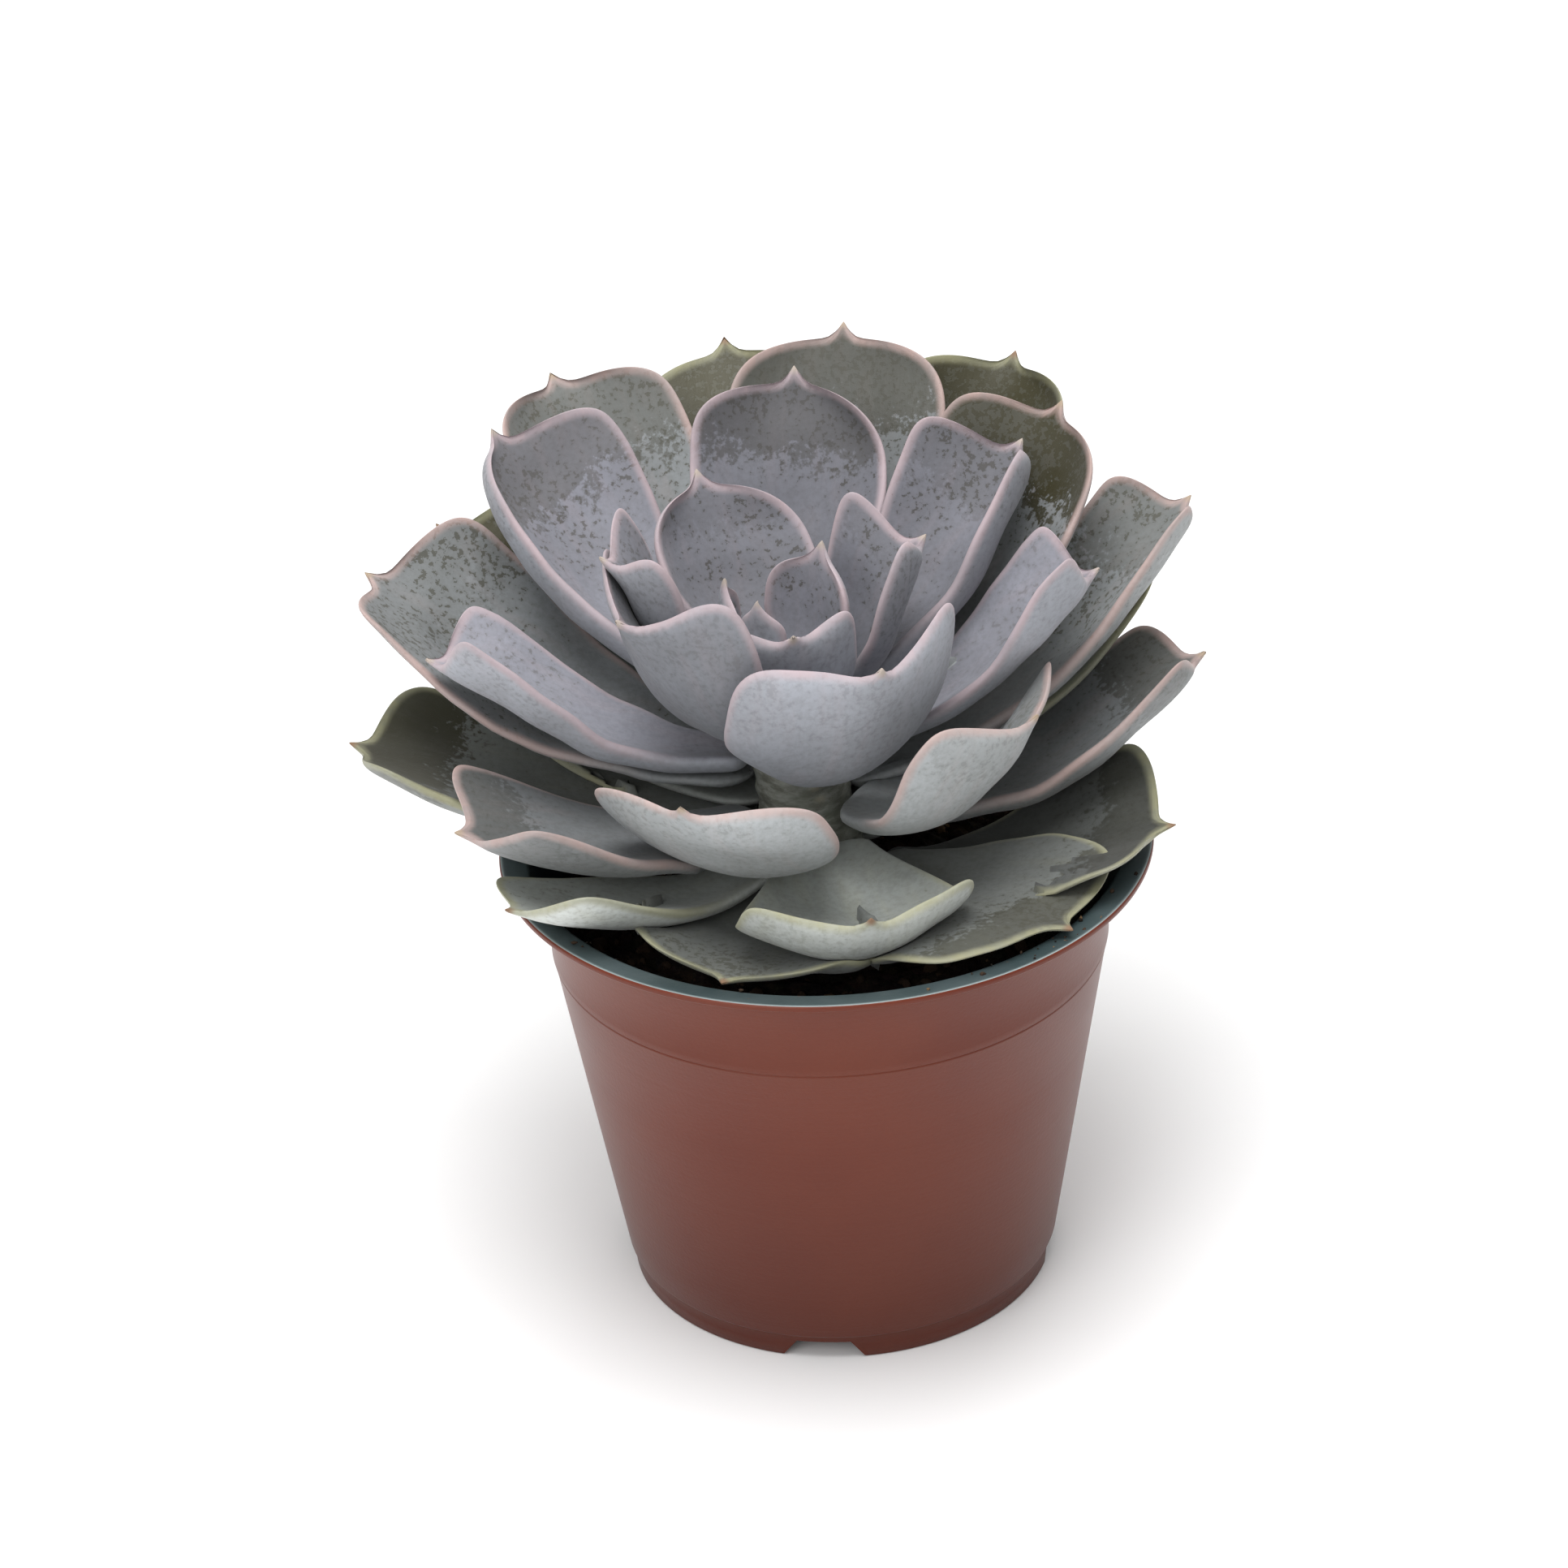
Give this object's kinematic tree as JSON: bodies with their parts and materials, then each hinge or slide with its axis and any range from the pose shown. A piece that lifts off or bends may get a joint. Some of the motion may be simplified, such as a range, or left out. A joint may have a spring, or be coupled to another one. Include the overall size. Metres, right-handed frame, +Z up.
{
  "type": "potted succulent",
  "caption": "Rosette succulent with thick, cupped, pointed grey-green leaves, growing on a short stem in a round plastic nursery pot.",
  "frame": {"origin": "on the surface the pot stands on, under the middle of the whole plant's footprint", "axes": "+Z up; -Y towards the front of the rosette, where the lowest leaves hang nearest the rim; the pot's own axis is parallel to +Z, a little in front of the origin"},
  "size_m": [0.1584, 0.157, 0.153],
  "materials": {
    "pot_plastic": "satin terracotta plastic outside, dark grey-green inside",
    "soil": null,
    "stem": null,
    "old_leaf": null,
    "outer_leaf": null,
    "inner_leaf": null
  },
  "bodies": {
    "root": {"pot": "pot_plastic", "soil": "soil", "stem": "stem", "leaf_01": "old_leaf", "leaf_02": "old_leaf", "leaf_03": "old_leaf", "leaf_04": "old_leaf", "leaf_05": "old_leaf", "leaf_06": "old_leaf", "leaf_07": "old_leaf", "leaf_08": "old_leaf", "leaf_09": "old_leaf", "leaf_10": "old_leaf", "leaf_11": "old_leaf", "leaf_12": "outer_leaf", "leaf_13": "outer_leaf", "leaf_14": "old_leaf", "leaf_15": "old_leaf", "leaf_16": "old_leaf", "leaf_17": "outer_leaf", "leaf_18": "outer_leaf", "leaf_19": "outer_leaf", "leaf_20": "outer_leaf", "leaf_21": "outer_leaf", "leaf_22": "outer_leaf", "leaf_23": "outer_leaf", "leaf_24": "inner_leaf", "leaf_25": "inner_leaf", "leaf_26": "inner_leaf", "leaf_27": "inner_leaf", "leaf_28": "inner_leaf", "leaf_29": "inner_leaf", "leaf_30": "inner_leaf", "leaf_31": "inner_leaf", "leaf_32": "inner_leaf", "leaf_33": "inner_leaf", "leaf_34": "inner_leaf", "leaf_35": "inner_leaf", "leaf_36": "inner_leaf", "leaf_37": "inner_leaf"}
  },
  "joints": []
}
